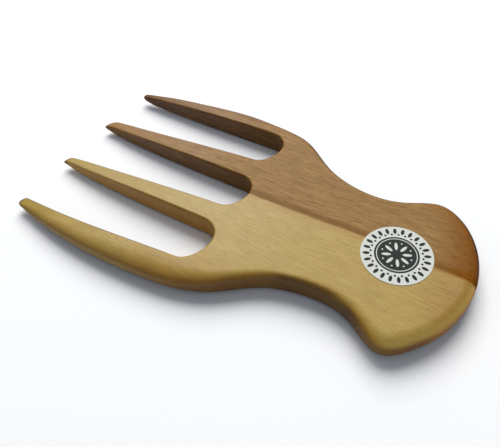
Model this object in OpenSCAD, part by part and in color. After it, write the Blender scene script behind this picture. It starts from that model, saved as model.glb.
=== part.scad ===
// Flat four-prong pick carved from one board of wood, with a round label on the handle.
// The board lies on Z = 0. The prongs point to -X, the handle to +X and the far side is +Y.
// The origin is on the flat underside, below the middle of the palm.
// Outline points and slot places across the board are shares of the width that they follow.

/* [Board] */
// Full width of the board at the shoulders
board_width = 96; // [94:0.5:99]
// Full width of the waist between palm and handle
waist_width = 49.9; // [46:0.1:54]
// Full width of the handle at its cheeks
handle_width = 65.9; // [63:0.1:69]
// Thickness of the board at the palm and the handle
board_thickness = 10; // [8:0.5:12]
// Station of the handle's end
handle_end = 77.4; // [76:0.1:84]
// Station where the prongs start to get thinner towards their tips
taper_start = -21; // [-24:0.5:-20]
// Length of the thinned stretch, from its start to the tips
taper_length = 75; // [70:1:90]
// Fall of the top face at the end of the thinned stretch
tip_fall = 4.7; // [3:0.1:5]
// Rise of the far prong's underside at the end of the thinned stretch
lift_1 = 1.7; // [0.5:0.1:2.2]
// Rise of the second prong's underside
lift_2 = 0.9; // [0.5:0.1:2.2]
// Rise of the third prong's underside
lift_3 = 1.2; // [0.5:0.1:2.2]
// Rise of the near prong's underside
lift_4 = 1.7; // [0.5:0.1:2.2]

/* [Outline] */
// First outline station, just beyond the prong tips
first_station = -100; // [-104:0.5:-99.5]
// Distance between the ten stations along the prongs, palm and waist
station_step = 16; // [15.8:0.05:16.2]
// Distance from the handle's end back to its widest place
cheek_inset = 20; // [19:0.1:21]
// Distance from the handle's end back to the middle of its rounded corners
corner_inset = 11.9; // [11:0.1:12.5]
// Distance from the handle's end back to where the corners run out
crown_inset = 7.8; // [7:0.1:8.5]

/* [Far slot] */
// Station of the far slot's end centre
far_slot_station = -19.4; // [-21:0.1:-18.5]
// Place of the far slot across the board
far_slot_share = 0.304; // [0.301:0.001:0.307]
// Half width of the far slot at its end
far_slot_half = 8.9; // [8.4:0.1:9.2]
// Growth of its half width towards the tips
far_slot_widening = 3.4; // [2.9:0.1:3.5]
// Late growth of its half width, strongest at the tips
far_slot_pinch = -1.5; // [-1.7:0.1:-1.3]
// Sideways lean of the far slot
far_slot_lean = -2; // [-2.2:0.1:-1.8]
// Late bend of the far slot, strongest at the tips
far_slot_bend = 1.7; // [1.4:0.1:1.8]

/* [Middle slot] */
// Station of the middle slot's end centre
mid_slot_station = -18.8; // [-21:0.1:-18.5]
// Place of the middle slot across the board
mid_slot_share = 0.009; // [0.006:0.001:0.012]
// Half width of the middle slot at its end
mid_slot_half = 8.6; // [8.2:0.1:8.9]
// Growth of its half width towards the tips
mid_slot_widening = 3.3; // [2.9:0.1:3.5]
// Late growth of its half width, strongest at the tips
mid_slot_pinch = 0.3; // [0:0.1:0.4]
// Sideways lean of the middle slot
mid_slot_lean = -1.5; // [-1.7:0.1:-1.3]
// Late bend of the middle slot, strongest at the tips
mid_slot_bend = 2.1; // [1.9:0.1:2.3]

/* [Near slot] */
// Station of the near slot's end centre
near_slot_station = -20.1; // [-21:0.1:-18.5]
// Place of the near slot across the board
near_slot_share = -0.279; // [-0.282:0.001:-0.276]
// Half width of the near slot at its end
near_slot_half = 9.6; // [9.2:0.1:9.9]
// Growth of its half width towards the tips
near_slot_widening = 3.6; // [3.3:0.1:3.8]
// Late growth of its half width, strongest at the tips
near_slot_pinch = -1.1; // [-1.4:0.1:-0.9]
// Sideways lean of the near slot
near_slot_lean = -2.9; // [-3.1:0.1:-2.7]
// Late bend of the near slot, strongest at the tips
near_slot_bend = 3.4; // [3.1:0.1:3.5]

/* [Slot ends] */
// Length over which lean, bend and growth are counted
slot_run = 78; // [76:1:82]
// Depth of the slot ends as a share of their half width
slot_end_share = 0.85; // [0.75:0.01:1]
// Lopsidedness of the slot ends as a share of their half width
slot_end_skew_share = 0.066; // [0:0.002:0.08]

/* [Prong tips] */
// Station of the far prong's tip
tip_1_station = -95.6; // [-97.5:0.1:-95]
// Station of the second prong's tip
tip_2_station = -98.2; // [-99.2:0.1:-97]
// Station of the third prong's tip
tip_3_station = -98.9; // [-99.4:0.1:-98]
// Station of the near prong's tip
tip_4_station = -98.4; // [-99.2:0.1:-97]
// Length of the far tip's rounded end
tip_1_length = 2.2; // [2:0.1:6]
// Length of the second tip's rounded end
tip_2_length = 5.4; // [2:0.1:6]
// Length of the third tip's rounded end
tip_3_length = 3.2; // [2:0.1:6]
// Length of the near tip's rounded end
tip_4_length = 2.2; // [2:0.1:6]
// Share of a prong's thickness by which its underside rises at the very tip
tip_upturn_share = 0.48; // [0.1:0.01:0.55]
// Share of a prong's thickness by which its top face falls at the very tip
tip_downturn_share = 0.18; // [0:0.01:0.25]
// Length over which the tips get sharper
sharpened_length = 8; // [4:0.1:12]
// Place of the two outer tips' foremost points across their prongs, from the near wall
outer_foremost_share = 0.4; // [0.1:0.01:0.5]
// Place of the two inner tips' foremost points across their prongs, from the near wall
inner_foremost_share = 0.05; // [0.03:0.01:0.5]

/* [Rounded edges] */
// Reach of the edge rounding round the tips
tip_edge_reach = 1; // [0.7:0.05:1.2]
// Reach of the outer edge rounding one step from the tips
point_edge_reach = 3.2; // [2:0.1:3.4]
// Reach of the outer edge rounding halfway along the prongs
prong_edge_reach = 5.2; // [2:0.1:5.4]
// Reach of the outer edge rounding at the shoulders
shoulder_edge_reach = 7.2; // [3:0.1:7.5]
// Reach of the edge rounding at the waist
waist_edge_reach = 2.4; // [1:0.1:4]
// Reach of the edge rounding at the cheeks
cheek_edge_reach = 4.5; // [2:0.1:5]
// Reach of the edge rounding round the handle's end
end_edge_reach = 4.2; // [2:0.1:5]
// Reach of the edge rounding inside the slots
slot_edge_reach = 0.9; // [0.5:0.05:1]
// Share of the thickness taken by each rounding at the tips
tip_edge_share = 0.34; // [0.2:0.01:0.45]
// Share of the thickness taken by each outer rounding one step from the tips
point_edge_share = 0.45; // [0.2:0.01:0.47]
// Share of the thickness taken by each rounding along the prongs and shoulders
prong_edge_share = 0.47; // [0.2:0.01:0.48]
// Share of the thickness taken by each rounding at the waist
waist_edge_share = 0.26; // [0.1:0.01:0.46]
// Share of the thickness taken by each rounding round the handle
handle_edge_share = 0.4; // [0.15:0.01:0.46]
// Share of the thickness taken by each rounding inside the slots
slot_edge_share = 0.1; // [0.05:0.01:0.2]

/* [Label] */
// Diameter of the round label
label_diameter = 25; // [20:0.5:30]
// Diameter of the dark printed disc
print_diameter = 15.5; // [12:0.5:18]
// Distance from the handle's end back to the label's centre
label_inset = 27.6; // [25:0.1:32]
// Offset of the label's centre from the long axis
label_offset = -0.4; // [-2:0.1:2]
// Thickness of the adhesive film
adhesive_thickness = 0.06; // [0.04:0.01:0.1]
// Thickness of the paper
paper_thickness = 0.12; // [0.08:0.01:0.2]
// Thickness of the printed layer
print_thickness = 0.04; // [0.03:0.01:0.08]

/* [Hidden] */

wood_colour = "#B0894F";
adhesive_colour = "#D9D3BE";
paper_colour = "#E9E7DF";
print_colour = "#343C3A";

// Steps along the straight stretch of a slot wall, round half a slot end,
// along one side of the palm and handle, round half a tip and over an edge
wall_steps = 16;
bend_steps = 8;
handle_steps = 50;
half_tip_steps = 5;
edge_steps = 5;
// Facets of a round disc
disc_facets = 96;
// How far the board blank stands clear of the carved shape
overrun = 5;
// How far the prongs' outer sides run past the slots' roots
root_spread = 6;
quarter_turn = 90;
// Places of the outer edge roundings, in steps from the first station
point_place = 1;
prong_place = 2.5;
shoulder_place = 4.5;
waist_place = 7.5;

prong_count = 4;
side_steps = wall_steps + bend_steps;
tip_steps = 2 * half_tip_steps;

cheek_station = handle_end - cheek_inset;
corner_station = handle_end - corner_inset;
crown_station = handle_end - crown_inset;
label_station = handle_end - label_inset;

// Outline at the even stations: tips to palm as shares of the board's width, neck and waist
// as shares of the waist's width, and the start of the flare as a share of the handle's width
far_board_shares = [0.435, 0.461, 0.479, 0.49, 0.498, 0.483, 0.438];
near_board_shares = [0.438, 0.472, 0.494, 0.502, 0.498, 0.482, 0.424];
far_waist_shares = [0.601, 0.487];
near_waist_shares = [0.595, 0.513];
far_flare_shares = [0.401];
near_flare_shares = [0.429];
// Cheek, corner and crown of the handle as shares of its width
far_handle_shares = [0.476, 0.42, 0.357];
near_handle_shares = [0.524, 0.436, 0.36];

function halves(board, waist, flare) =
    concat(board_width * board, waist_width * waist, handle_width * flare);
far_halves = halves(far_board_shares, far_waist_shares, far_flare_shares);
near_halves = halves(near_board_shares, near_waist_shares, near_flare_shares);
far_corners = handle_width * far_handle_shares;
near_corners = handle_width * near_handle_shares;
corner_stations = [cheek_station, corner_station, crown_station];
last_station = len(far_halves) - 1;
last_corner = len(corner_stations) - 1;
function at_place(n) = first_station + n * station_step;

// Outline nodes from the far tip round the handle's end to the near tip
outline_nodes = concat(
    [for (i = [0:last_station]) [at_place(i), far_halves[i]]],
    [for (i = [0:last_corner]) [corner_stations[i], far_corners[i]]],
    [[handle_end, 0]],
    [for (i = [last_corner:-1:0]) [corner_stations[i], -near_corners[i]]],
    [for (i = [last_station:-1:0]) [at_place(i), -near_halves[i]]]
);
node_count = len(outline_nodes);
end_node = (node_count - 1) / 2;

// Chord length from the first outline node to each of the others
outline_at = [for (i = 0, s = 0; i < node_count;
    s = s + (i + 1 < node_count ? norm(outline_nodes[i + 1] - outline_nodes[i]) : 0), i = i + 1) s];

function gap(i) = outline_at[i + 1] - outline_at[i];
function slope(i) = (outline_nodes[i + 1] - outline_nodes[i]) / gap(i);
function pull(i) = 6 * (slope(i) - slope(i - 1));
function pivot(i) = 2 * (gap(i - 1) + gap(i));

// Bend of the outline at each node, so that it runs through all of them with an even curvature
sweep = [for (i = 1, c = gap(1) / pivot(1), d = pull(1) / pivot(1); i < node_count - 1;
    i = i + 1,
    d = i < node_count - 1 ? (pull(i) - gap(i - 1) * d) / (pivot(i) - gap(i - 1) * c) : d,
    c = i < node_count - 1 ? gap(i) / (pivot(i) - gap(i - 1) * c) : c) [c, d]];
function bends_from(i, done) = i == 0
    ? concat([[0, 0]], done)
    : bends_from(i - 1, concat([sweep[i - 1][1] - sweep[i - 1][0] * done[0]], done));
bend = bends_from(node_count - 2, [[0, 0]]);

// Outline point and its direction at a length along the outline
function piece(t, i = 0) = i < node_count - 2 && t > outline_at[i + 1] ? piece(t, i + 1) : i;
function outline_point(t) =
    let (i = piece(t), h = gap(i), a = outline_at[i + 1] - t, b = t - outline_at[i])
    (bend[i] * a * a * a + bend[i + 1] * b * b * b) / (6 * h)
    + (outline_nodes[i] / h - bend[i] * h / 6) * a
    + (outline_nodes[i + 1] / h - bend[i + 1] * h / 6) * b;
function outline_way(t) =
    let (i = piece(t), h = gap(i), a = outline_at[i + 1] - t, b = t - outline_at[i])
    (bend[i + 1] * b * b - bend[i] * a * a) / (2 * h)
    + (outline_nodes[i + 1] - outline_nodes[i]) / h - (bend[i + 1] - bend[i]) * h / 6;
function unit(v) = v / norm(v);
function left_of(v) = [-v[1], v[0]];

// Length along the outline that belongs to a station on the far or the near side
function far_t(x) =
    let (k = (x - first_station) / station_step, i = min(floor(k), last_station))
    outline_at[i] + (k - i) * gap(i);
function near_t(x) =
    let (k = (x - first_station) / station_step, i = min(floor(k), last_station))
    outline_at[node_count - 1 - i] - (k - i) * gap(node_count - 2 - i);

// Levels of a prong's underside and top face at a station
function thinning(x) = pow(max(0, taper_start - x) / taper_length, 2);
function prong_thickness(x, k) = board_thickness - (tip_fall + lifts[k]) * thinning(x);
function sharpening(x, k) =
    prong_thickness(x, k) * pow(max(0, 1 - (x - tips[k]) / sharpened_length), 2);
function underside(x, k) = lifts[k] * thinning(x) + tip_upturn_share * sharpening(x, k);
function topside(x, k) =
    board_thickness - tip_fall * thinning(x) - tip_downturn_share * sharpening(x, k);

// Each slot is [end centre station, offset, half width at the end, lean, bend, widening, pinch]
slots = [
    [far_slot_station, far_slot_share * board_width, far_slot_half,
        far_slot_lean, far_slot_bend, far_slot_widening, far_slot_pinch],
    [mid_slot_station, mid_slot_share * board_width, mid_slot_half,
        mid_slot_lean, mid_slot_bend, mid_slot_widening, mid_slot_pinch],
    [near_slot_station, near_slot_share * board_width, near_slot_half,
        near_slot_lean, near_slot_bend, near_slot_widening, near_slot_pinch]
];
tips = [tip_1_station, tip_2_station, tip_3_station, tip_4_station];
tip_lengths = [tip_1_length, tip_2_length, tip_3_length, tip_4_length];
foremost_shares =
    [outer_foremost_share, inner_foremost_share, inner_foremost_share, outer_foremost_share];
lifts = [lift_1, lift_2, lift_3, lift_4];

// Wall of a slot at a station, and its slope; side is +1 on the slot's far wall and -1 on its near wall
function slot_side(s, x, side) = let (u = (s[0] - x) / slot_run, late = pow(u, 3))
    s[1] + s[3] * u + s[4] * late + side * (s[2] + s[5] * u + s[6] * late);
function slot_slope(s, x, side) = let (u = (s[0] - x) / slot_run, late = 3 * u * u)
    -(s[3] + s[4] * late + side * (s[5] + s[6] * late)) / slot_run;

// Slot end at an angle from the long axis, and the direction in which it runs
function end_point(s, a) =
    [s[0] + s[2] * (slot_end_share * cos(a) + slot_end_skew_share * sin(2 * a)), s[1] + s[2] * sin(a)];
function end_way(a) = [2 * slot_end_skew_share * cos(2 * a) - slot_end_share * sin(a), cos(a)];

// Angle and station of a slot's root, the deepest place of its end
root_tilt = asin(2 * slot_end_skew_share / slot_end_share);
root_angle = asin(2 * slot_end_skew_share * cos(2 * root_tilt) / slot_end_share);
function slot_root(s) = end_point(s, root_angle)[0];

// Edge roundings blend from one named place to the next: [station, reach, share]
outer_edges = [
    [tip_2_station, tip_edge_reach, tip_edge_share],
    [at_place(point_place), point_edge_reach, point_edge_share],
    [at_place(prong_place), prong_edge_reach, prong_edge_share],
    [at_place(shoulder_place), shoulder_edge_reach, prong_edge_share],
    [at_place(waist_place), waist_edge_reach, waist_edge_share],
    [cheek_station, cheek_edge_reach, handle_edge_share],
    [handle_end, end_edge_reach, handle_edge_share]
];
inner_edges = [
    [tip_2_station, slot_edge_reach, (tip_edge_share + slot_edge_share) / 2],
    [at_place(point_place), slot_edge_reach, slot_edge_share],
    [handle_end, slot_edge_reach, slot_edge_share]
];
function blended(table, x, column, i = 0) = i < len(table) - 2 && x > table[i + 1][0]
    ? blended(table, x, column, i + 1)
    : let (a = table[i], b = table[i + 1], f = max(0, min(1, (x - a[0]) / (b[0] - a[0]))),
            w = (1 - cos(2 * quarter_turn * f)) / 2)
        a[column] * (1 - w) + b[column] * w;

// A rim point is [position, outward direction, reach, share, prong]
function rim_point(p, out, table, k) =
    [p, out, blended(table, p[0], 1), blended(table, p[0], 2), k];
function outer_rim(t, k) =
    rim_point(outline_point(t), left_of(unit(outline_way(t))), outer_edges, k);

// Side of a prong along a slot, from its tip to the slot's root
function slot_wall(k, s, side) = let (x0 = tips[k] + tip_lengths[k])
    [for (j = [0:side_steps]) j <= wall_steps
        ? let (x = x0 + (s[0] - x0) * j / wall_steps)
            rim_point([x, slot_side(s, x, side)], unit([side * slot_slope(s, x, side), -side]),
                inner_edges, k)
        : let (f = (j - wall_steps) / bend_steps, a = side * quarter_turn * (1 - f) + root_angle * f)
            rim_point(end_point(s, a), left_of(unit(end_way(a))), inner_edges, k)];

// Outer side of the far or the near prong, from its tip to just past the slot's root.
// Beside the slot's end its steps keep pace with the steps round the slot's end.
function outer_wall(k, s, far) = let (
        x0 = tips[k] + tip_lengths[k],
        run = slot_root(s) + root_spread - s[0]
    )
    [for (j = [0:side_steps]) let (x = j <= wall_steps
            ? x0 + (s[0] - x0) * j / wall_steps
            : s[0] + run * sin(quarter_turn * (j - wall_steps) / bend_steps))
        outer_rim(far ? far_t(x) : near_t(x), k)];

far_walls = [
    outer_wall(0, slots[0], true),
    slot_wall(1, slots[0], -1),
    slot_wall(2, slots[1], -1),
    slot_wall(3, slots[2], -1)
];
near_walls = [
    slot_wall(0, slots[0], 1),
    slot_wall(1, slots[1], 1),
    slot_wall(2, slots[2], 1),
    outer_wall(3, slots[2], false)
];

// Rounded end of a prong, from its near wall round to its far wall, without the end points.
// It is drawn in towards a hub that lies halfway between the roundings of the two walls.
function tip_bow(k) = let (
        q = near_walls[k][0], p = far_walls[k][0],
        foremost = q[0][1] + foremost_shares[k] * (p[0][1] - q[0][1]),
        hub = [q[0][0], (q[0][1] + q[2] + p[0][1] - p[2]) / 2]
    )
    [for (i = [1:tip_steps - 1]) let (
            a = quarter_turn * i / half_tip_steps,
            wall = i < half_tip_steps ? q : p,
            place = [q[0][0] - tip_lengths[k] * sin(a), foremost + (wall[0][1] - foremost) * abs(cos(a))],
            reach = wall[2] + (tip_edge_reach - wall[2]) * sin(a),
            share = wall[3] + (tip_edge_share - wall[3]) * sin(a)
        )
        [place, unit(place - hub), reach, share, k]];

// Palm and handle, from just past the root of a side slot to the handle's end
far_root_t = far_t(slot_root(slots[0]) + root_spread);
near_root_t = near_t(slot_root(slots[2]) + root_spread);
end_t = outline_at[end_node];
function handle_side(from, steps) =
    [for (i = steps) outer_rim(from + (end_t - from) * i / handle_steps, 0)];

function backwards(list) = [for (i = [len(list) - 1:-1:0]) list[i]];
function without_ends(list, head, tail) = [for (i = [head:len(list) - 1 - tail]) list[i]];
// A prong's rim from the root on its near side round the tip to the root on its far side
function prong_rim(k, tail) = concat(
    without_ends(backwards(near_walls[k]), 1, 0),
    tip_bow(k),
    without_ends(far_walls[k], 0, tail)
);
rim = concat(
    handle_side(far_root_t, [0:handle_steps]),
    handle_side(near_root_t, [handle_steps - 1:-1:0]),
    prong_rim(3, 0),
    prong_rim(2, 0),
    prong_rim(1, 0),
    prong_rim(0, 1)
);
rim_count = len(rim);

// Places of the walls in the rim
prong_start = 2 * handle_steps;
prong_length = 2 * side_steps + tip_steps;
function near_at(k, j) = prong_start + (prong_count - 1 - k) * prong_length + side_steps - j;
function far_at(k, j) = (near_at(k, 0) + tip_steps + j) % rim_count;
function far_handle(i) = i;
function near_handle(i) = prong_start - i;

// Row of points at an angle over the top or the bottom rounding
function rim_row(top, angle) = [for (r = rim)
    let (p = r[0] - r[1] * r[2] * (1 - cos(angle)),
        low = underside(p[0], r[4]),
        high = topside(p[0], r[4]),
        depth = (high - low) * r[3] * (1 - sin(angle)))
    [p[0], p[1], top ? high - depth : low + depth]];
rows = concat(
    [for (i = [0:edge_steps]) rim_row(true, quarter_turn * (1 - i / edge_steps))],
    [for (i = [0:edge_steps]) rim_row(false, quarter_turn * i / edge_steps)]
);
row_count = len(rows);
body_points = [for (row = rows) each row];

function band_faces(r) = [for (i = [0:rim_count - 1]) let (
        a = r * rim_count + i,
        b = r * rim_count + (i + 1) % rim_count,
        c = a + rim_count,
        d = b + rim_count
    )
    each [[a, c, b], [b, c, d]]];

// Triangles of a level face; they all turn the same way in the rim's order
function prong_faces(k) = concat(
    [for (j = [0:side_steps - 1]) each [
        [far_at(k, j), far_at(k, j + 1), near_at(k, j)],
        [far_at(k, j + 1), near_at(k, j + 1), near_at(k, j)]
    ]],
    [for (i = [1:tip_steps - 1]) [far_at(k, 0), near_at(k, 0) + i - 1, near_at(k, 0) + i]]
);
palm_faces = [
    [far_handle(0), far_handle(1), near_at(0, side_steps)],
    [near_at(0, side_steps), far_handle(1), near_at(1, side_steps)],
    [near_at(1, side_steps), far_handle(1), near_handle(1)],
    [near_at(1, side_steps), near_handle(1), near_at(2, side_steps)],
    [near_at(2, side_steps), near_handle(1), near_handle(0)]
];
handle_faces = concat(
    [for (i = [1:handle_steps - 2]) each [
        [far_handle(i), far_handle(i + 1), near_handle(i)],
        [far_handle(i + 1), near_handle(i + 1), near_handle(i)]
    ]],
    [[far_handle(handle_steps - 1), far_handle(handle_steps), near_handle(handle_steps - 1)]]
);
level_faces = concat(
    [for (k = [0:prong_count - 1]) each prong_faces(k)],
    palm_faces,
    handle_faces
);
last_row = (row_count - 1) * rim_count;
body_faces = concat(
    level_faces,
    [for (r = [0:row_count - 2]) each band_faces(r)],
    [for (f = level_faces) [f[2] + last_row, f[1] + last_row, f[0] + last_row]]
);

// Wooden body: handle, palm and four tapering prongs with rounded edges
module pick_body() {
    color(wood_colour)
    intersection() {
        polyhedron(body_points, body_faces);
        board_blank();
    }
}

// Board that the body is carved from
module board_blank() {
    blank_length = handle_end - first_station + overrun * 2;
    blank_width = 2 * max(near_halves) + overrun * 2;
    translate([first_station - overrun, -blank_width / 2, -overrun])
    cube([blank_length, blank_width, board_thickness + overrun * 2]);
}

// Round layer of the label at a height above the handle
module label_layer(diameter, height, thickness) {
    translate([label_station, label_offset, board_thickness + height])
    cylinder(d = diameter, h = thickness, $fn = disc_facets);
}

// Adhesive film on the wood
module label_adhesive() {
    color(adhesive_colour)
    label_layer(label_diameter, 0, adhesive_thickness);
}

// Paper face of the label
module label_paper() {
    color(paper_colour)
    label_layer(label_diameter, adhesive_thickness, paper_thickness);
}

// Dark printed disc in the middle of the paper
module label_print() {
    color(print_colour)
    label_layer(print_diameter, adhesive_thickness + paper_thickness, print_thickness);
}

pick_body();
label_adhesive();
label_paper();
label_print();
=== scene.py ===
"""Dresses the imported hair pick: one carved, two-toned wooden body and a round printed label."""

import math

import bmesh
import bpy
import numpy as np
from mathutils import Matrix, Vector


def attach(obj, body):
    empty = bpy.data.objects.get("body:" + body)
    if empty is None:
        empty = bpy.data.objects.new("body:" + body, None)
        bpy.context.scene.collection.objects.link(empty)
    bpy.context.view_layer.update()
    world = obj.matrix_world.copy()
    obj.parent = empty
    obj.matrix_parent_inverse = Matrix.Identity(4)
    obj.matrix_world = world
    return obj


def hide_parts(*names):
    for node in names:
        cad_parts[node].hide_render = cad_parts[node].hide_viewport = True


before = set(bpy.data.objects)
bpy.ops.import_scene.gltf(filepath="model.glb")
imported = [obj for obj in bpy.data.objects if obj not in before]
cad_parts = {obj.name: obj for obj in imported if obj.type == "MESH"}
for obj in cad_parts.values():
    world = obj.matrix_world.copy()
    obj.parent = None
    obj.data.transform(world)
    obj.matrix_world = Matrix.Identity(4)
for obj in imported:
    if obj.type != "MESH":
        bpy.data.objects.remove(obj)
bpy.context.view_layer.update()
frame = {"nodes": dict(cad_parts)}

MM = 0.001
METRES_TO_MM = (1 / MM, 1 / MM, 1 / MM)

# Board, in millimetres along X (length), Y (width) and Z (thickness)
BOARD_WIDTH = 96.0
WAIST_WIDTH = 49.9
HANDLE_WIDTH = 65.9
BOARD_THICKNESS = 10.0
HANDLE_END = 77.4
TAPER_START = -21.0
TAPER_LENGTH = 75.0
TIP_FALL = 4.7

# Outline at even stations, then the handle's cheek, corner and crown. Each point lies at a
# share of the board's, the waist's or the handle's width.
FIRST_STATION = -100.0
STATION_STEP = 16.0
CORNER_INSETS = (20.0, 11.9, 7.8)
WIDTHS = np.array([BOARD_WIDTH] * 7 + [WAIST_WIDTH] * 2 + [HANDLE_WIDTH] * 4)
FAR_SHARES = np.array([0.435, 0.461, 0.479, 0.49, 0.498, 0.483, 0.438,
                       0.601, 0.487, 0.401, 0.476, 0.42, 0.357])
NEAR_SHARES = np.array([0.438, 0.472, 0.494, 0.502, 0.498, 0.482, 0.424,
                        0.595, 0.513, 0.429, 0.524, 0.436, 0.36])
EVEN_STATIONS = 10

# Slots: end centre station, offset, half width at the end, lean, bend, widening, pinch
SLOTS = ((-19.4, 0.304 * BOARD_WIDTH, 8.9, -2.0, 1.7, 3.4, -1.5),
         (-18.8, 0.009 * BOARD_WIDTH, 8.6, -1.5, 2.1, 3.3, 0.3),
         (-20.1, -0.279 * BOARD_WIDTH, 9.6, -2.9, 3.4, 3.6, -1.1))
SLOT_RUN = 78.0
SLOT_END_SHARE = 0.85
SLOT_END_SKEW = 0.066
ROOT_TILT = math.asin(2 * SLOT_END_SKEW / SLOT_END_SHARE)
ROOT_ANGLE = math.asin(2 * SLOT_END_SKEW * math.cos(2 * ROOT_TILT) / SLOT_END_SHARE)
ROOT_SPREAD = 6.0

# Prong tips from the far prong to the near one: station, length of the rounded end,
# place of the foremost point from the near wall, and rise of the underside
TIPS = ((-95.6, 2.2, 0.40, 1.7), (-98.2, 5.4, 0.05, 0.9),
        (-98.9, 3.2, 0.05, 1.2), (-98.4, 2.2, 0.40, 1.7))
TIP_EDGE = (1.0, 0.34)
TIP_UPTURN_SHARE = 0.48
TIP_DOWNTURN_SHARE = 0.18
SHARPENED_LENGTH = 8.0

# Edge roundings: station, reach and share of the thickness
OUTER_EDGES = ((-98.2, 1.0, 0.34), (-84.0, 3.2, 0.45), (-60.0, 5.2, 0.47), (-28.0, 7.2, 0.47),
               (20.0, 2.4, 0.26), (57.4, 4.5, 0.40), (77.4, 4.2, 0.40))
INNER_EDGES = ((-98.2, 0.9, 0.22), (-84.0, 0.9, 0.10), (77.4, 0.9, 0.10))

# A rim point is (x, y, outward x, outward y, reach, share, rise of the underside, tip station)
PLACE, OUTWARD, EDGE = slice(0, 2), slice(2, 4), slice(4, 6)
REACH, SHARE, RISE, TIP_STATION = 4, 5, 6, 7

# Fineness of the dressed mesh, and the thin strip of faces between the roundings and the level
# faces, which narrows where the reach of the rounding is short
WALL_STEPS = 60
BEND_STEPS = 24
HANDLE_STEPS = 170
PALM_STEPS = 6
HALF_TIP_STEPS = 12
TIP_STEPS = 2 * HALF_TIP_STEPS
EDGE_STEPS = 9
LEVEL_MARGIN = 0.25
FULL_MARGIN_REACH = 2.0


def srgb(r, g, b):
    """Linear colour from 8-bit display values."""
    def linear(v):
        v /= 255
        return v / 12.92 if v <= 0.04045 else ((v + 0.055) / 1.055) ** 2.4
    return linear(r), linear(g), linear(b), 1.0


# Colours of the brown and the pale wood
HEARTWOOD = srgb(162, 122, 60)
HEARTWOOD_STREAK = srgb(130, 92, 38)
HEARTWOOD_LINE = srgb(108, 68, 12)
HEARTWOOD_END = srgb(130, 78, 18)
# Painted highlight on the tops of the brown prongs towards their tips
HEARTWOOD_HIGHLIGHT = srgb(162, 122, 80)
PORE = srgb(92, 58, 30)
SAPWOOD = srgb(179, 151, 73)
SAPWOOD_WARM = srgb(184, 146, 70)
SAPWOOD_STREAK = srgb(162, 132, 59)
SAPWOOD_FRINGE = srgb(166, 120, 46)
# Painted sheen: a paler colour on the pale prong tops short of the near prong
SAPWOOD_SHEEN = srgb(186, 164, 108)
# Painted light: a lighter colour on the handle end's rolled edge where it faces up
SAPWOOD_ROLL_LIGHT = srgb(215, 185, 104)
SAPWOOD_END = srgb(168, 130, 54)
SAPWOOD_END_STREAK = srgb(148, 109, 42)
FLECK = srgb(128, 92, 44)

# Tints that multiply the wood's colour, where 255 leaves it as it is. Most of them are painted
# shade; the end grain's and the prongs' tints darken the wood itself.
NO_TINT = srgb(255, 255, 255)
# Painted shade on the rolled edges, milder at the handle's end
ROLL_SHADE = srgb(228, 202, 122)
END_ROLL_SHADE = srgb(255, 246, 214)
# Painted shade on the slot walls, for the brown and the pale wood
SLOT_WALL_SHADE_BROWN = srgb(216, 208, 196)
SLOT_WALL_SHADE_PALE = srgb(270, 236, 168)
# Painted shade on the near-facing walls: along the prongs, at the handle's end, in the waist's
# hollow and deepest in it
PRONG_SIDE_SHADE = srgb(231, 216, 140)
END_SIDE_SHADE = srgb(206, 178, 130)
HOLLOW_SHADE = srgb(186, 160, 110)
DEEP_HOLLOW_SHADE = srgb(136, 118, 104)
# Darker far-facing edges: partly a burnished edge, partly painted shade
FAR_EDGE_BURNISH_AND_SHADE = srgb(124, 104, 88)
# Painted shade on the second prong's far-facing rolled edge
FAR_ROLL_SHADE = srgb(208, 184, 196)
# Painted shade on the near shoulder's edge
PALM_EDGE_SHADE = srgb(248, 238, 208)
# Painted shade in the waist, strongest on its rolled edge
WAIST_SHADE = srgb(196, 188, 186)
# Painted shade on faces that look down
UNDERSIDE_SHADE = srgb(140, 130, 130)
END_GRAIN_TINT_BROWN = srgb(238, 214, 160)
END_GRAIN_TINT_PALE = srgb(246, 232, 206)
PRONG_TINT_FAR = srgb(219, 203, 217)
PRONG_TINT_NEAR = srgb(248, 248, 222)
PRONG_TINT_PALE = srgb(255, 255, 250)
FAR_PRONG_TINT = srgb(238, 232, 222)
TIP_TINT = srgb(158, 132, 114)

# Noises: grains per millimetre along X, Y and Z, detail and roughness
DRIFT = ((0.014, 0.02, 0.03), 1.0, 0.5)
LINE_WAVE = ((0.05, 0.0, 0.0), 1.0, 0.5)
LINE_FRAY = ((0.25, 1.6, 0.8), 3.0, 0.5)
GRAIN = {"bands": ((0.012, 0.22, 0.2), 2.0, 0.5),
         "fibres": ((0.11, 1.3, 1.2), 5.0, 0.66),
         "pores": ((0.32, 3.0, 2.6), 2.0, 0.5),
         "flecks": ((0.42, 1.9, 1.9), 2.0, 0.5),
         "mottle": ((0.10, 0.22, 0.2), 3.0, 0.6),
         "streaks": ((0.055, 0.85, 0.8), 3.0, 0.6)}
DRIFT_WIDTH = 9.0
FRAY_WIDTH = 1.0

# Line between the woods, in millimetres: offset from the axis, height of its waves, station where
# it turns towards the near side, and its slope from there on
LINE_OFFSET = 0.9
LINE_WAVE_HEIGHT = 1.6
LINE_TURN_START = 36.0
LINE_TURN = 0.048

# Oval about the pale middle of the handle, outside which the brown wood is warmer
OVAL_START = 46.0
OVAL_HALF_LENGTH = 30.0
OVAL_HALF_WIDTH = 50.0

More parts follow.
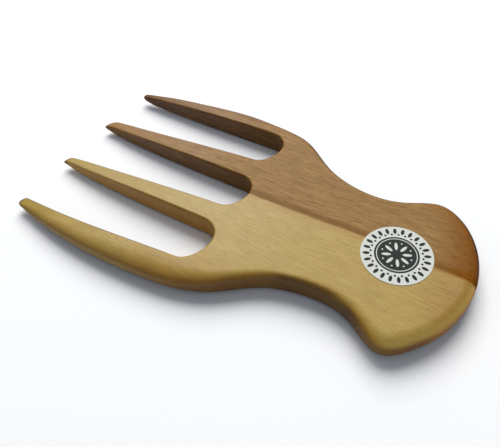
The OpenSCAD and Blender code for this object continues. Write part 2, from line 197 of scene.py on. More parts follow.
# A zone is bounded by measures of the surface. Along each of them it grows from none to full
# between the first two values and, where there are four, goes back to none between the others.
#   x, y      place, in millimetres
#   side      millimetres past the line between the woods, on the brown side
#   spread    distance from the middle of the oval on the handle, 1 at its edge
#   level     1 on faces that look straight up or down, 0 on upright walls
#   endwise   1 on faces that look along X, 0 on those that look across it
#   skyward   the normal's part towards +Z
#   farward   the normal's part towards +Y
# and the noises of GRAIN. Zones joined by | are cut to the part that they share.
LINE_BLUR = (-0.75, 0.75)
BROWN_WOOD = dict(side=LINE_BLUR)
BORDER = dict(side=LINE_BLUR + (1.7, 4.2))
FRINGE = dict(side=(-3.4, -0.6))
PORES = dict(pores=(0.57, 0.69))
FLECKS = dict(flecks=(0.60, 0.72))
TOP_FACES = dict(level=(0.6, 0.95))
ROLLED = dict(level=(0.998, 0.62))
WALLS = dict(level=(0.75, 0.15))
END_GRAIN = dict(endwise=(0.35, 0.95))
UNDERCUT = dict(skyward=(-0.05, -0.6, -0.8, -0.99))
FAR_SIDE = dict(y=(22.0, 30.0))
NOT_FAR_SIDE = dict(y=(30.0, 22.0))
FARTHEST = dict(y=(28.0, 36.0))
NEAR_SIDE = dict(y=(-20.0, -28.0))
NOT_NEAR_SIDE = dict(y=(-28.0, -22.0))
INNER_PALE = dict(y=(-30.0, -22.0))
BESIDE_LINE = dict(y=(-26.0, -6.0))
TIPWARD = dict(x=(-58.0, -94.0))
ALL_PRONGS = dict(x=(-20.0, -30.0))
FAR_PRONG = FAR_SIDE | dict(x=(-12.0, -36.0))
# Painted highlight on the brown prong tops towards their tips, except the far prong
HIGHLIT_PRONG_TIPS = TIPWARD | NOT_FAR_SIDE | TOP_FACES
# Painted sheen on the pale prong tops short of the near prong
SHEEN_ON_PRONG_TOPS = TOP_FACES | dict(x=(-36.0, -80.0), y=(-34.0, -20.0))
# Far-facing edges that take the burnish and the painted shade
PRONG_EDGE = ALL_PRONGS | NOT_FAR_SIDE | dict(level=(0.995, 0.86), farward=(0.05, 0.20))
FAR_EDGE = dict(level=(0.95, 0.72), farward=(0.05, 0.35))
FAR_ROLL = dict(level=(0.995, 0.80), farward=(0.03, 0.20), y=(10.0, 24.0), x=(-10.0, -50.0))
PALM_EDGE = dict(x=(-44.0, -24.0, 2.0, 18.0), y=(-28.0, -38.0))
# Places of the painted shade on the near walls
HOLLOW = dict(x=(-40.0, 0.0, 52.0, 66.0))
DEEP_HOLLOW = dict(x=(14.0, 30.0, 42.0, 52.0))
WAIST = dict(x=(12.0, 20.0, 34.0, 42.0), y=(-14.0, -20.0), level=(0.997, 0.82))
WAIST_ROLL = dict(level=(0.1, 0.5))
CHEEK = NEAR_SIDE | dict(x=(32.0, 42.0, 46.0, 53.0), level=(0.95, 0.40))
HANDLE_END_EDGE = dict(x=(50.0, 62.0))
# Painted light on the handle end's rolled edge, where it faces up
LIT_END_ROLL = ROLLED | dict(skyward=(0.10, 0.60), x=(50.0, 59.0))
WARM_END = dict(spread=(0.45, 0.95), x=(30.0, 50.0))
PALE_END = dict(x=(56.0, 72.0))
POLISHED = dict(x=(-97.0, -70.0, -45.0, 35.0))
MATT = BROWN_WOOD | dict(x=(-60.0, -15.0))

# Layers of colour, from the lowest up: zone, colour and greatest share
HEARTWOOD_LAYERS = ((dict(fibres=(0.34, 0.68)), HEARTWOOD_STREAK, 1.0),
                    (dict(bands=(0.36, 0.70)), HEARTWOOD_STREAK, 0.35),
                    (dict(streaks=(0.58, 0.68)), HEARTWOOD_LINE, 0.30),
                    (PORES, PORE, 0.50),
                    (BORDER, HEARTWOOD_LINE, 0.62))
# Painted highlight on the brown prong tops towards their tips
HEARTWOOD_HIGHLIGHT_LAYERS = ((HIGHLIT_PRONG_TIPS, HEARTWOOD_HIGHLIGHT, 0.7),)
SAPWOOD_LAYERS = ((dict(bands=(0.42, 0.66)), SAPWOOD_WARM, 0.5),
                  (dict(fibres=(0.38, 0.70)), SAPWOOD_STREAK, 0.75),
                  (dict(mottle=(0.36, 0.66)), SAPWOOD_STREAK, 0.5),
                  (FRINGE, SAPWOOD_FRINGE, 0.55),
                  (FLECKS, FLECK, 0.48))
SAPWOOD_END_LAYERS = ((dict(fibres=(0.34, 0.68)), SAPWOOD_END_STREAK, 1.0),
                      (FLECKS, FLECK, 0.4))
# Painted light on the handle end's rolled edge and painted sheen on the pale prong tops
SAPWOOD_PAINTED_LIGHT_LAYERS = ((LIT_END_ROLL, SAPWOOD_ROLL_LIGHT, 1.0),
                (SHEEN_ON_PRONG_TOPS, SAPWOOD_SHEEN, 0.38))

# Shares of the wood's other mixes, and of the painted shade on the waist's wall
WARM_SHARE = 0.95
END_WOOD_SHARE = 0.5
END_WOOD_BESIDE_LINE = 0.4
WAIST_WALL_SHARE = 0.45

# Darkening of the tips: stations between which it grows, and how far back the far prong's lie
TIP_DARKENING = (-95.4, -98.6)
FAR_TIP_SET_BACK = 2.8

# Roughness and shine of the wood, and what the zones add to them
ROUGHNESS = 0.40
FIBRE_ROUGHNESS = 0.18
POLISHED_ROUGHNESS = -0.05
BROWN_ROUGHNESS = 0.05
SHINE = 0.30
POLISHED_SHINE = 0.24
MATT_SHARE = 0.8
BROWN_DULLNESS = 0.10
WARM_DULLNESS = 0.14
BORDER_DULLNESS = 0.06
GRAIN_RELIEF = (0.35, 0.1 * MM)
PORE_DEPTH = 0.6

# Label, in millimetres: marks have a count round the label, a shift by a share of a step, a
# distance from the middle, a half width and a half length, and the ring a distance and a half
# width. The blurs are the shares of a mark's size at which it starts and is full.
LABEL_CENTRE = (49.8, -0.4)
PAPER = srgb(217, 219, 210)
INK = srgb(36, 41, 37)
GLUE = srgb(206, 200, 180)
STROKES = (24, 0.0, 10.45, 0.62, 1.25)
DOTS = (24, 0.5, 8.95, 0.42, 0.42)
RING = (6.9, 0.15)
PETALS = (8, 0.0, 3.6, 0.55, 1.6)
PETAL_DOTS = (8, 0.5, 5.2, 0.3, 0.3)
MARK_BLUR = (1.2, 0.8)
RING_BLUR = (1.3, 0.7)
PAPER_FLECK = ((2.2, 2.2, 2.2), 4.0, 0.6)
PAPER_FLECK_TINT = srgb(190, 190, 190)
PAPER_FLECK_SHARE = 0.10
PAPER_SHINE = 0.1
PAPER_RELIEF = (0.2, 0.03 * MM)
GLUE_ROUGHNESS, PAPER_ROUGHNESS, INK_ROUGHNESS = 0.4, 0.55, 0.5

# Studio, in metres: the camera sees a white floor with the object's shadow near it
WHITE = (1.0, 1.0, 1.0, 1.0)
FLOOR_SIZE = 6.0
FLOOR_COLOUR = (0.80, 0.80, 0.81, 1.0)
FLOOR_ROUGHNESS = 0.9
FLOOR_SHINE = 0.1
FAR_FLOOR_GLOW = 1.1
SHADOW_REACH = (0.115, 0.15)
SKY = (0.80, 0.88, 1.0, 1.0)
SKY_STRENGTH = 0.30

# Soft lamps: azimuth and elevation in degrees, distance and width in metres, power and colour
LAMPS = {"key_softbox": (202, 48, 2.0, 1.6, 43.0, (1.0, 0.985, 0.96)),
         "sheen_softbox": (246, 48, 2.0, 0.9, 3.5, (1.0, 0.99, 0.97))}

# Camera at the photograph's viewing angle: its place in millimetres, and its axes
FOCAL_PIXELS = 479.4
PHOTO_WIDTH = 500
SENSOR_WIDTH = 36.0
CLIP_START = 0.01
CAMERA_AT = (61.17, -106.68, 148.37)
CAMERA_RIGHT = (0.86575, 0.49707, -0.05825)
CAMERA_DOWN = (0.35171, -0.68709, -0.63578)
CAMERA_AHEAD = (-0.35605, 0.52994, -0.76967)


# Carved body

def natural_bends(nodes, at):
    """Second derivatives of the even curve through the nodes."""
    count = len(at)
    gaps = np.diff(at)
    slopes = np.diff(nodes, axis=0) / gaps[:, None]
    matrix = np.eye(count)
    pulls = np.zeros_like(nodes)
    for i in range(1, count - 1):
        matrix[i, i - 1:i + 2] = gaps[i - 1], 2 * (gaps[i - 1] + gaps[i]), gaps[i]
        pulls[i] = 6 * (slopes[i] - slopes[i - 1])
    return np.linalg.solve(matrix, pulls)


class Outline:
    """Plan outline from the far tip round the handle's end to the near tip."""

    def __init__(self):
        even = FIRST_STATION + STATION_STEP * np.arange(EVEN_STATIONS)
        stations = np.concatenate([even, HANDLE_END - np.array(CORNER_INSETS)])
        far = np.column_stack([stations, WIDTHS * FAR_SHARES])
        near = np.column_stack([stations, -WIDTHS * NEAR_SHARES])
        self.nodes = np.concatenate([far, [(HANDLE_END, 0.0)], near[::-1]])
        steps = np.linalg.norm(np.diff(self.nodes, axis=0), axis=1)
        self.at = np.concatenate([[0.0], np.cumsum(steps)])
        self.bends = natural_bends(self.nodes, self.at)
        self.end_t = self.at[len(far)]

    def point_and_way(self, t):
        """Point of the outline at a distance along it, and the way it runs there."""
        i = int(np.clip(np.searchsorted(self.at, t) - 1, 0, len(self.at) - 2))
        h = self.at[i + 1] - self.at[i]
        a, b = self.at[i + 1] - t, t - self.at[i]
        p, q, m, n = self.nodes[i], self.nodes[i + 1], self.bends[i], self.bends[i + 1]
        point = (m * a**3 + n * b**3) / (6 * h) + (p / h - m * h / 6) * a + (q / h - n * h / 6) * b
        way = (n * b * b - m * a * a) / (2 * h) + (q - p) / h - (n - m) * h / 6
        return point, way / np.linalg.norm(way)

    def far_t(self, x):
        """Distance along the outline at a station of the far side."""
        k = (x - FIRST_STATION) / STATION_STEP
        i = min(math.floor(k), EVEN_STATIONS - 1)
        return self.at[i] + (k - i) * (self.at[i + 1] - self.at[i])

    def near_t(self, x):
        """Distance along the outline at a station of the near side."""
        k = (x - FIRST_STATION) / STATION_STEP
        i = min(math.floor(k), EVEN_STATIONS - 1)
        last = len(self.at) - 1
        return self.at[last - i] - (k - i) * (self.at[last - i] - self.at[last - 1 - i])


def blended(table, x, column):
    """Value of a table's column at a station, eased between the rows."""
    for a, b in zip(table, table[1:]):
        if x <= b[0] or b is table[-1]:
            f = min(1.0, max(0.0, (x - a[0]) / (b[0] - a[0])))
            w = (1 - math.cos(math.pi * f)) / 2
            return a[column] * (1 - w) + b[column] * w
    return table[-1][column]


def rim_point(point, out, table, tip):
    """Rim point with the edge rounding that the table has at its station."""
    out = np.asarray(out, float)
    out = out / np.linalg.norm(out)
    tip_station, _, _, rise = tip
    reach, share = (blended(table, point[0], column) for column in (1, 2))
    return (*point, *out, reach, share, rise, tip_station)


def outer_rim(outline, t, tip=TIPS[0]):
    point, way = outline.point_and_way(t)
    return rim_point(point, (-way[1], way[0]), OUTER_EDGES, tip)


def end_ahead(a):
    """How far a slot's end lies ahead of its centre at an angle, as a share of the half width."""
    return SLOT_END_SHARE * math.cos(a) + SLOT_END_SKEW * math.sin(2 * a)


def slot_root(slot):
    """Station of the foremost point of a slot's end."""
    centre, _, half = slot[:3]
    return centre + half * end_ahead(ROOT_ANGLE)


def wall_start(tip):
    """Station where a prong's side walls start behind its rounded end."""
    return tip[0] + tip[1]


def slot_wall(slot, tip, side):
    """Side of a prong along a slot, from its tip to the slot's root."""
    centre, offset, half, lean, bend, widening, pinch = slot
    start = wall_start(tip)
    rims = []
    for j in range(WALL_STEPS + 1):
        x = start + (centre - start) * j / WALL_STEPS
        u = (centre - x) / SLOT_RUN
        y = offset + lean * u + bend * u**3 + side * (half + widening * u + pinch * u**3)
        slope = -(lean + 3 * bend * u**2 + side * (widening + 3 * pinch * u**2)) / SLOT_RUN
        rims.append(rim_point((x, y), (side * slope, -side), INNER_EDGES, tip))
    for j in range(1, BEND_STEPS + 1):
        a = side * math.pi / 2 * (1 - j / BEND_STEPS) + ROOT_ANGLE * j / BEND_STEPS
        way = 2 * SLOT_END_SKEW * math.cos(2 * a) - SLOT_END_SHARE * math.sin(a)
        point = (centre + half * end_ahead(a), offset + half * math.sin(a))
        rims.append(rim_point(point, (-math.cos(a), way), INNER_EDGES, tip))
    return rims


def outer_wall(outline, tip, slot, far):
    """Outer side of the far or the near prong, to just past the slot's root."""
    start, centre = wall_start(tip), slot[0]
    run = slot_root(slot) + ROOT_SPREAD - centre
    xs = [start + (centre - start) * j / WALL_STEPS for j in range(WALL_STEPS + 1)]
    xs += [centre + run * math.sin(math.pi / 2 * j / BEND_STEPS) for j in range(1, BEND_STEPS + 1)]
    return [outer_rim(outline, outline.far_t(x) if far else outline.near_t(x), tip) for x in xs]


def tip_bow(far_end, near_end, tip):
    """Rounded end of a prong from its near wall to its far wall, without the end points."""
    tip_station, length, foremost_share, rise = tip
    p, q = np.array(far_end), np.array(near_end)
    foremost = q[1] + foremost_share * (p[1] - q[1])
    hub = np.array([q[0], (q[1] + q[REACH] + p[1] - p[REACH]) / 2])
    rims = []
    for i in range(1, TIP_STEPS):
        a = math.pi / 2 * i / HALF_TIP_STEPS
        wall = q if i < HALF_TIP_STEPS else p
        y = foremost + (wall[1] - foremost) * abs(math.cos(a))
        place = np.array([q[0] - length * math.sin(a), y])
        out = (place - hub) / np.linalg.norm(place - hub)
        edge = wall[EDGE] + (np.array(TIP_EDGE) - wall[EDGE]) * math.sin(a)
        rims.append((*place, *out, *edge, rise, tip_station))
    return rims


def body_geometry():
    """Points in metres, faces, and the number of faces on the walls and roundings."""
    outline = Outline()
    far_walls = [outer_wall(outline, TIPS[0], SLOTS[0], True)]
    far_walls += [slot_wall(slot, tip, -1) for slot, tip in zip(SLOTS, TIPS[1:])]
    near_walls = [slot_wall(slot, tip, 1) for slot, tip in zip(SLOTS, TIPS)]
    near_walls.append(outer_wall(outline, TIPS[-1], SLOTS[-1], False))

    far_from = outline.far_t(slot_root(SLOTS[0]) + ROOT_SPREAD)
    near_from = outline.near_t(slot_root(SLOTS[-1]) + ROOT_SPREAD)
    shares = np.arange(HANDLE_STEPS + 1) / HANDLE_STEPS
    far_side = [outer_rim(outline, far_from + (outline.end_t - far_from) * f) for f in shares]
    near_side = [outer_rim(outline, near_from + (outline.end_t - near_from) * f) for f in shares]
    rim = far_side + near_side[-2::-1]
    for k in reversed(range(len(TIPS))):
        bow = tip_bow(far_walls[k][0], near_walls[k][0], TIPS[k])
        rim += near_walls[k][-2::-1] + bow + far_walls[k][:(-1 if k == 0 else None)]
    rim = np.array(rim)
    count = len(rim)

    side_steps = WALL_STEPS + BEND_STEPS
    prong_start = 2 * HANDLE_STEPS
    prong_length = 2 * side_steps + TIP_STEPS

    def near_at(k, j):
        """Number of a rim point on a prong's near wall, counted from the tip."""
        return prong_start + (len(TIPS) - 1 - k) * prong_length + side_steps - j

    def far_at(k, j):
        """Number of a rim point on a prong's far wall, counted from the tip."""
        return (near_at(k, 0) + TIP_STEPS + j) % count

    def row(angle, top, margin=0.0):
        """The rim at an angle of the edge rounding: level at a right angle, upright at zero."""
        full = np.minimum(1.0, rim[:, REACH] / FULL_MARGIN_REACH)
        inset = rim[:, REACH] * (1 - math.cos(angle)) + margin * full
        plan = rim[:, PLACE] - rim[:, OUTWARD] * inset[:, None]
        thinning = (np.maximum(0.0, TAPER_START - plan[:, 0]) / TAPER_LENGTH) ** 2
        thickness = BOARD_THICKNESS - (TIP_FALL + rim[:, RISE]) * thinning
        ahead = np.maximum(0.0, 1 - (plan[:, 0] - rim[:, TIP_STATION]) / SHARPENED_LENGTH)
        sharpening = thickness * ahead**2
        low = rim[:, RISE] * thinning + TIP_UPTURN_SHARE * sharpening
        high = BOARD_THICKNESS - TIP_FALL * thinning - TIP_DOWNTURN_SHARE * sharpening
        depth = (high - low) * rim[:, SHARE] * (1 - math.sin(angle))
        return np.column_stack([plan, high - depth if top else low + depth])

    turns = np.linspace(math.pi / 2, 0.0, EDGE_STEPS + 1)
    rows = [row(math.pi / 2, True, LEVEL_MARGIN)] + [row(a, True) for a in turns]
    rows += [row(a, False) for a in turns[::-1]] + [row(math.pi / 2, False, LEVEL_MARGIN)]
    points = np.concatenate(rows) * MM

    faces = []
    for r in range(len(rows) - 1):
        for i in range(count):
            a, b = r * count + i, r * count + (i + 1) % count
            faces.append((a, b, b + count, a + count))
    flat = []
    for k in range(len(TIPS)):
        for j in range(side_steps):
            flat.append((near_at(k, j), near_at(k, j + 1), far_at(k, j + 1), far_at(k, j)))
        flat.append(tuple(near_at(k, 0) + i for i in range(TIP_STEPS, -1, -1)))
    roots = tuple(near_at(k, side_steps) for k in range(len(SLOTS)))
    near_run = tuple(prong_start - i for i in range(PALM_STEPS + 1))
    flat.append((0, *roots, *near_run, *range(PALM_STEPS, 0, -1)))
    for i in range(PALM_STEPS, HANDLE_STEPS - 1):
        flat.append((i, prong_start - i, prong_start - i - 1, i + 1))
    flat.append((HANDLE_STEPS - 1, HANDLE_STEPS + 1, HANDLE_STEPS))
    last = (len(rows) - 1) * count
    level = flat + [tuple(i + last for i in reversed(f)) for f in flat]
    return points, faces + level, len(faces)


def mesh_object(name, points, faces, smooth_faces=0):
    """Object in the scene, with its first faces shaded smooth."""
    mesh = bpy.data.meshes.new(name)
    mesh.from_pydata([tuple(p) for p in points], [], faces)
    bm = bmesh.new()
    bm.from_mesh(mesh)
    bmesh.ops.recalc_face_normals(bm, faces=bm.faces)
    bm.to_mesh(mesh)
    bm.free()
    for face in mesh.polygons:
        face.use_smooth = face.index < smooth_faces
    piece = bpy.data.objects.new(name, mesh)
    bpy.context.scene.collection.objects.link(piece)
    return piece


# Materials

# Places of the factor, the two colours and the result among a colour mix's sockets
MIX_INPUTS = (0, 6, 7)
MIX_OUTPUT = 2


class Nodes:
    """Short names for building a material's node tree."""

    def __init__(self, name):
        self.material = bpy.data.materials.new(name)
        self.material.use_nodes = True
        self.tree = self.material.node_tree
        self.shader = self.tree.nodes["Principled BSDF"]
        self.output = self.tree.nodes["Material Output"]

    def add(self, kind, **settings):
        node = self.tree.nodes.new(kind)
        for key, value in settings.items():
            setattr(node, key, value)
        return node

    def link(self, source, target):
        self.tree.links.new(source, target)

    def put(self, socket, value):
        if isinstance(value, bpy.types.NodeSocket):
            self.link(value, socket)
        else:
            socket.default_value = value

    def surface(self, colour, roughness, shine):
        self.put(self.shader.inputs["Base Color"], colour)
        self.put(self.shader.inputs["Roughness"], roughness)
        self.put(self.shader.inputs["Specular IOR Level"], shine)

    def math(self, operation, *values):
        node = self.add("ShaderNodeMath", operation=operation)
        for socket, value in zip(node.inputs, values):
            self.put(socket, value)
        return node.outputs[0]

    def product(self, first, *others):
        for value in others:
            first = self.math("MULTIPLY", first, value)
        return first

    def total(self, base, *terms):
        """The base and the terms, each a value and its share."""
        for value, share in terms:
            base = self.math("ADD", base, self.math("MULTIPLY", value, share))
        return base

    def squares(self, a, b):
        return self.math("ADD", self.math("MULTIPLY", a, a), self.math("MULTIPLY", b, b))

    def ramp(self, value, none, full):
        """0 at none and short of it, 1 at full and past it, smooth between; full may be lower."""
        node = self.add("ShaderNodeMapRange", interpolation_type="SMOOTHSTEP", clamp=True)
        self.put(node.inputs["Value"], value)
        node.inputs["From Min"].default_value = none
        node.inputs["From Max"].default_value = full
        return node.outputs["Result"]

    def mix(self, factor, a, b, blend="MIX"):
        node = self.add("ShaderNodeMix", data_type="RGBA", blend_type=blend)
        for place, value in zip(MIX_INPUTS, (factor, a, b)):
            self.put(node.inputs[place], value)
        return node.outputs[MIX_OUTPUT]

    def tinted(self, factor, colour, tint):
        """The colour, multiplied by the tint as far as the factor says."""
        return self.mix(factor, colour, self.mix(1.0, colour, tint, "MULTIPLY"))

    def noise(self, vector, stretch, detail, roughness):
        node = self.add("ShaderNodeTexNoise")
        self.link(self.stretched(vector, stretch), node.inputs["Vector"])
        node.inputs["Scale"].default_value = 1.0
        node.inputs["Detail"].default_value = detail
        node.inputs["Roughness"].default_value = roughness
        return node.outputs["Fac"]

    def swing(self, value, width):
        """A value from 0 to 1, moved to lie evenly about zero and given a width."""
        return self.math("MULTIPLY", self.math("SUBTRACT", value, 0.5), width)

    def stretched(self, vector, stretch):
        node = self.add("ShaderNodeVectorMath", operation="MULTIPLY")
        self.link(vector, node.inputs[0])
        node.inputs[1].default_value = stretch
        return node.outputs[0]

    def parts(self, vector):
        """X, Y and Z of a vector."""
        node = self.add("ShaderNodeSeparateXYZ")
        self.link(vector, node.inputs[0])
        return tuple(node.outputs)

    def relief(self, height, strength, distance):
        """Bumps the surface by a height."""
        bump = self.add("ShaderNodeBump")
        bump.inputs["Strength"].default_value = strength
        bump.inputs["Distance"].default_value = distance
        self.link(height, bump.inputs["Height"])
        self.link(bump.outputs[0], self.shader.inputs["Normal"])


class Wood(Nodes):
    """The body's material, with measures of its surface, and zones and layers made from them."""

    def __init__(self, name):
        super().__init__(name)
        place = self.add("ShaderNodeTexCoord")
        mm = self.stretched(place.outputs["Object"], METRES_TO_MM)
        x, y, z = self.parts(mm)
        endwise, farward, skyward = self.parts(place.outputs["Normal"])

        # Slow drift of the grain sideways
        grain = self.add("ShaderNodeCombineXYZ")
        across = self.math("ADD", y, self.swing(self.noise(mm, *DRIFT), DRIFT_WIDTH))
        for socket, value in zip(grain.inputs, (x, across, z)):
            self.link(value, socket)
        along = grain.outputs[0]

        # Line where brown wood meets pale wood, frayed along the grain
        past_turn = self.math("MAXIMUM", self.math("SUBTRACT", x, LINE_TURN_START), 0.0)
        line = self.total(LINE_OFFSET, (self.noise(mm, *LINE_WAVE), LINE_WAVE_HEIGHT),
                          (past_turn, -LINE_TURN))
        fray = self.swing(self.noise(along, *LINE_FRAY), FRAY_WIDTH)

        # Place within the oval on the handle
        from_start = self.math("DIVIDE", self.math("SUBTRACT", x, OVAL_START), OVAL_HALF_LENGTH)
        outward = self.math("DIVIDE", y, OVAL_HALF_WIDTH)
        spread = self.squares(self.math("MAXIMUM", from_start, 0.0), outward)

        self.measures = {"x": x, "y": y, "skyward": skyward, "farward": farward,
                         "side": self.math("ADD", self.math("SUBTRACT", y, line), fray),
                         "spread": self.math("SQRT", spread),
                         "level": self.math("ABSOLUTE", skyward),
                         "endwise": self.math("ABSOLUTE", endwise)}
        for pattern, recipe in GRAIN.items():
            self.measures[pattern] = self.noise(along, *recipe)

    def zone(self, limits):
        """1 in the zone and 0 outside it."""
        masks = []
        for measure, values in limits.items():
            masks.append(self.ramp(self.measures[measure], values[0], values[1]))
            if len(values) == 4:
                masks.append(self.ramp(self.measures[measure], values[3], values[2]))
        return self.product(*masks)

    def layered(self, colour, layers):
        """The colour with layers laid over it."""
        for limits, layer, share in layers:
            colour = self.mix(self.product(self.zone(limits), share), colour, layer)
        return colour


def wood_colour(n, brown, warmth):
    """Brown and pale wood as they are on the level faces, with a painted highlight and a painted
    sheen on prong tops and painted light on the handle end's rolled edge.
    """
    heart = n.layered(HEARTWOOD, HEARTWOOD_LAYERS)
    warm = n.mix(n.zone(PORES), HEARTWOOD_END, PORE)
    heart = n.mix(n.product(warmth, WARM_SHARE), heart, warm)
    heart = n.layered(heart, HEARTWOOD_HIGHLIGHT_LAYERS)

    sap = n.layered(SAPWOOD, SAPWOOD_LAYERS)
    end_wood = n.layered(SAPWOOD_END, SAPWOOD_END_LAYERS)
    end_share = n.total(END_WOOD_SHARE, (n.zone(BESIDE_LINE), END_WOOD_BESIDE_LINE))
    sap = n.mix(n.product(n.zone(PALE_END), end_share), sap, end_wood)
    sap = n.layered(sap, SAPWOOD_PAINTED_LIGHT_LAYERS)
    return n.mix(brown, sap, heart)


def shade_and_end_grain_tint(n, brown):
    """Tint of the painted shade on the rolled edges, the walls, the waist and cheek and the
    undersides, of the darker far edges, and of the end grain.
    """
    by_end = n.zone(HANDLE_END_EDGE)
    # Painted shade on the near-facing walls, deepest in the waist's hollow
    hollow_tint = n.mix(n.zone(DEEP_HOLLOW), HOLLOW_SHADE, DEEP_HOLLOW_SHADE)
    near_tint = n.mix(n.zone(HOLLOW), n.mix(by_end, PRONG_SIDE_SHADE, END_SIDE_SHADE), hollow_tint)
    # Painted shade on the slot walls, for the brown and the pale wood
    slot_tint = n.mix(brown, SLOT_WALL_SHADE_PALE, SLOT_WALL_SHADE_BROWN)
    wall_tint = n.mix(n.zone(NEAR_SIDE), slot_tint, near_tint)
    # Painted shade on the rolled edges, milder at the handle's end
    tint = n.mix(n.zone(ROLLED), NO_TINT, n.mix(by_end, ROLL_SHADE, END_ROLL_SHADE))
    # The walls and the cheek take the painted shade of the walls
    tint = n.mix(n.math("MAXIMUM", n.zone(CHEEK), n.zone(WALLS)), tint, wall_tint)

    # Darker far-facing edges, except at the handle's near side: partly burnish, partly painted
    # shade
    not_near_handle = n.math("MAXIMUM", n.zone(NOT_NEAR_SIDE), n.zone(ALL_PRONGS))
    tint = n.mix(n.product(n.zone(FAR_EDGE), not_near_handle), tint, FAR_EDGE_BURNISH_AND_SHADE)
    tint = n.mix(n.zone(PRONG_EDGE), tint, FAR_EDGE_BURNISH_AND_SHADE)
    # Painted shade on the second prong's far-facing rolled edge
    tint = n.tinted(n.zone(FAR_ROLL), tint, FAR_ROLL_SHADE)
    # Painted shade on the near shoulder's edge
    tint = n.tinted(n.zone(PALM_EDGE), tint, PALM_EDGE_SHADE)
    # Painted shade in the waist, strongest on its rolled edge
    waist_share = n.total(WAIST_WALL_SHARE, (n.zone(WAIST_ROLL), 1 - WAIST_WALL_SHARE))
    tint = n.tinted(n.product(n.zone(WAIST), waist_share), tint, WAIST_SHADE)
    # Painted shade on faces that look down
    tint = n.tinted(n.zone(UNDERCUT), tint, UNDERSIDE_SHADE)
    end_grain_tint = n.mix(brown, END_GRAIN_TINT_PALE, END_GRAIN_TINT_BROWN)
    return n.tinted(n.zone(END_GRAIN), tint, end_grain_tint)


def with_darkened_prongs(n, colour, brown):
    """The colour, darker on the prongs towards their tips and on the far prong, darkest at the
    tips.
    """
    pale_tint = n.mix(n.zone(INNER_PALE), PRONG_TINT_NEAR, PRONG_TINT_PALE)
    brown_tint = n.mix(n.zone(FAR_SIDE), NO_TINT, PRONG_TINT_FAR)
    colour = n.tinted(n.zone(TIPWARD), colour, n.mix(brown, pale_tint, brown_tint))
    colour = n.tinted(n.zone(FAR_PRONG), colour, FAR_PRONG_TINT)
    station = n.total(n.measures["x"], (n.zone(FARTHEST), -FAR_TIP_SET_BACK))
    return n.tinted(n.ramp(station, *TIP_DARKENING), colour, TIP_TINT)


def wood_material():
    n = Wood("carved_wood")
    fibres = n.measures["fibres"]
    brown, warmth, border = n.zone(BROWN_WOOD), n.zone(WARM_END), n.zone(BORDER)
    colour = n.mix(1.0, wood_colour(n, brown, warmth), shade_and_end_grain_tint(n, brown), "MULTIPLY")
    colour = with_darkened_prongs(n, colour, brown)

    polish = n.product(n.zone(POLISHED), n.total(1.0, (n.zone(MATT), -MATT_SHARE)))
    roughness = n.total(ROUGHNESS, (fibres, FIBRE_ROUGHNESS), (polish, POLISHED_ROUGHNESS),
                        (brown, BROWN_ROUGHNESS))
    dullness = n.total(BROWN_DULLNESS, (warmth, WARM_DULLNESS), (border, BORDER_DULLNESS))
    shine = n.total(SHINE, (polish, POLISHED_SHINE), (n.product(brown, dullness), -1.0))
    n.surface(colour, roughness, shine)
    n.relief(n.total(fibres, (n.zone(PORES), -PORE_DEPTH)), *GRAIN_RELIEF)
    return n.material


class Polar:
    """Distance and turn about the label's centre, for marks that repeat round it."""

    def __init__(self, nodes, mm):
        self.n = nodes
        x, y, _ = nodes.parts(mm)
        x = nodes.math("SUBTRACT", x, LABEL_CENTRE[0])
        y = nodes.math("SUBTRACT", y, LABEL_CENTRE[1])
        self.radius = nodes.math("SQRT", nodes.squares(x, y))
        self.turn = nodes.math("DIVIDE", nodes.math("ARCTAN2", y, x), 2 * math.pi)

    def marks(self, count, shift, place, half_width, half_length):
        """Even ring of oval marks, as 1 inside and 0 outside."""
        n = self.n
        step = n.math("FRACT", n.math("ADD", n.math("MULTIPLY", self.turn, count), shift))
        angle = n.swing(step, 2 * math.pi / count)
        sideways = n.math("DIVIDE", n.math("MULTIPLY", angle, self.radius), half_width)
        outward = n.math("DIVIDE", n.math("SUBTRACT", self.radius, place), half_length)
        return n.ramp(n.squares(sideways, outward), *MARK_BLUR)

    def ring(self, place, half_width):
        away = self.n.math("ABSOLUTE", self.n.math("SUBTRACT", self.radius, place))
        return self.n.ramp(away, *(half_width * blur for blur in RING_BLUR))


def paper_marks(polar):
    """Ring of radial strokes with a dot between each pair."""
    return [polar.marks(*STROKES), polar.marks(*DOTS)]


def disc_marks(polar):
    """Thin ring round a rosette of plain petals."""
    return [polar.ring(*RING), polar.marks(*PETALS), polar.marks(*PETAL_DOTS)]


def label_material(name, ground, ink, draw, roughness):
    """Paper, ink or glue with a fine fleck, and marks in a second colour."""
    n = Nodes(name)
    place = n.add("ShaderNodeTexCoord")
    mm = n.stretched(place.outputs["Object"], METRES_TO_MM)
    fleck = n.noise(mm, *PAPER_FLECK)
    colour = n.tinted(n.product(fleck, PAPER_FLECK_SHARE), ground, PAPER_FLECK_TINT)
    for mask in draw(Polar(n, mm)):
        colour = n.mix(mask, colour, ink)
    n.surface(colour, roughness, PAPER_SHINE)
    n.relief(fleck, *PAPER_RELIEF)
    return n.material


def mixed_shader(tree, factor, first, second):
    node = tree.nodes.new("ShaderNodeMixShader")
    for socket, source in zip(node.inputs, (factor, first, second)):
        tree.links.new(source, socket)
    return node.outputs[0]


def for_camera(tree, others, camera):
    """One shader for the camera and another for all other rays."""
    rays = tree.nodes.new("ShaderNodeLightPath")
    return mixed_shader(tree, rays.outputs["Is Camera Ray"], others, camera)


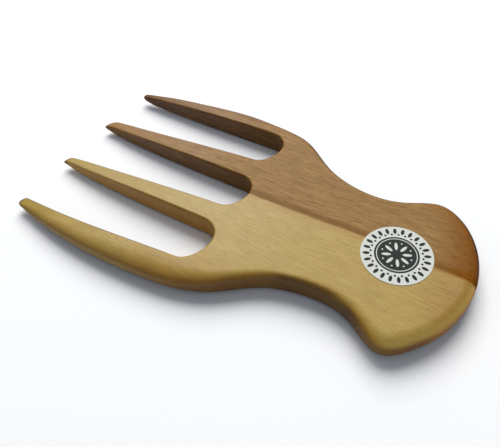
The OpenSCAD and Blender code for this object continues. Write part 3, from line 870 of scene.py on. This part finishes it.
def floor_material():
    """Pale floor that the camera sees as white, with the object's shadow near it."""
    n = Nodes("pale_floor")
    n.surface(FLOOR_COLOUR, FLOOR_ROUGHNESS, FLOOR_SHINE)
    near = n.add("ShaderNodeBsdfDiffuse")
    near.inputs["Color"].default_value = WHITE
    far = n.add("ShaderNodeEmission")
    far.inputs["Color"].default_value = WHITE
    far.inputs["Strength"].default_value = FAR_FLOOR_GLOW
    place = n.add("ShaderNodeTexCoord")
    distance = n.add("ShaderNodeVectorMath", operation="LENGTH")
    n.link(place.outputs["Object"], distance.inputs[0])
    farness = n.ramp(distance.outputs["Value"], *SHADOW_REACH)
    seen = mixed_shader(n.tree, farness, near.outputs[0], far.outputs[0])
    n.link(for_camera(n.tree, n.shader.outputs[0], seen), n.output.inputs["Surface"])
    return n.material


# Studio

def studio_world():
    """Sky light, with a white backdrop for the camera."""
    world = bpy.data.worlds.new("studio_world")
    bpy.context.scene.world = world
    world.use_nodes = True
    tree = world.node_tree
    sky = tree.nodes["Background"]
    sky.inputs["Color"].default_value = SKY
    sky.inputs["Strength"].default_value = SKY_STRENGTH
    backdrop = tree.nodes.new("ShaderNodeBackground")
    backdrop.inputs["Color"].default_value = WHITE
    backdrop.inputs["Strength"].default_value = 1.0
    tree.links.new(for_camera(tree, sky.outputs[0], backdrop.outputs[0]),
                   tree.nodes["World Output"].inputs["Surface"])


def area_light(name, azimuth, elevation, distance, size, power, colour):
    """Round lamp that looks at the origin."""
    lamp = bpy.data.lights.new(name, "AREA")
    lamp.shape = "DISK"
    lamp.size = size
    lamp.energy = power
    lamp.color = colour
    holder = bpy.data.objects.new(name, lamp)
    bpy.context.scene.collection.objects.link(holder)
    a, e = math.radians(azimuth), math.radians(elevation)
    away = Vector((math.sin(a) * math.cos(e), -math.cos(a) * math.cos(e), math.sin(e)))
    holder.location = away * distance
    holder.rotation_euler = away.to_track_quat("Z", "Y").to_euler()


def photo_camera():
    """Camera at the place from which the outline, slots and label match the photograph."""
    optics = bpy.data.cameras.new("photo_camera")
    optics.sensor_fit = "HORIZONTAL"
    optics.sensor_width = SENSOR_WIDTH
    optics.lens = SENSOR_WIDTH * FOCAL_PIXELS / PHOTO_WIDTH
    optics.clip_start = CLIP_START
    camera = bpy.data.objects.new("photo_camera", optics)
    bpy.context.scene.collection.objects.link(camera)
    axes = Matrix((CAMERA_RIGHT, [-v for v in CAMERA_DOWN], [-v for v in CAMERA_AHEAD]))
    camera.matrix_world = Matrix.Translation(Vector(CAMERA_AT) * MM) @ axes.transposed().to_4x4()
    return camera


def dress(piece, material):
    piece.data.materials.clear()
    piece.data.materials.append(material)


points, faces, rounded = body_geometry()
body = mesh_object("carved_body", points, faces, rounded)
body.modifiers.new("even_normals", "WEIGHTED_NORMAL").keep_sharp = True
dress(body, wood_material())
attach(body, "root")
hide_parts("pick_body")

nodes = frame["nodes"]
dress(nodes["label_adhesive"],
      label_material("label_glue", GLUE, GLUE, lambda polar: [], GLUE_ROUGHNESS))
dress(nodes["label_paper"],
      label_material("label_paper", PAPER, INK, paper_marks, PAPER_ROUGHNESS))
dress(nodes["label_print"],
      label_material("label_ink", INK, PAPER, disc_marks, INK_ROUGHNESS))

half = FLOOR_SIZE / 2
corners = [(-half, -half, 0), (half, -half, 0), (half, half, 0), (-half, half, 0)]
floor = mesh_object("studio_floor", corners, [(0, 1, 2, 3)])
dress(floor, floor_material())

studio_world()
for lamp_name, values in LAMPS.items():
    area_light(lamp_name, *values)
bpy.context.scene.camera = photo_camera()
bpy.context.scene.view_settings.view_transform = "Standard"
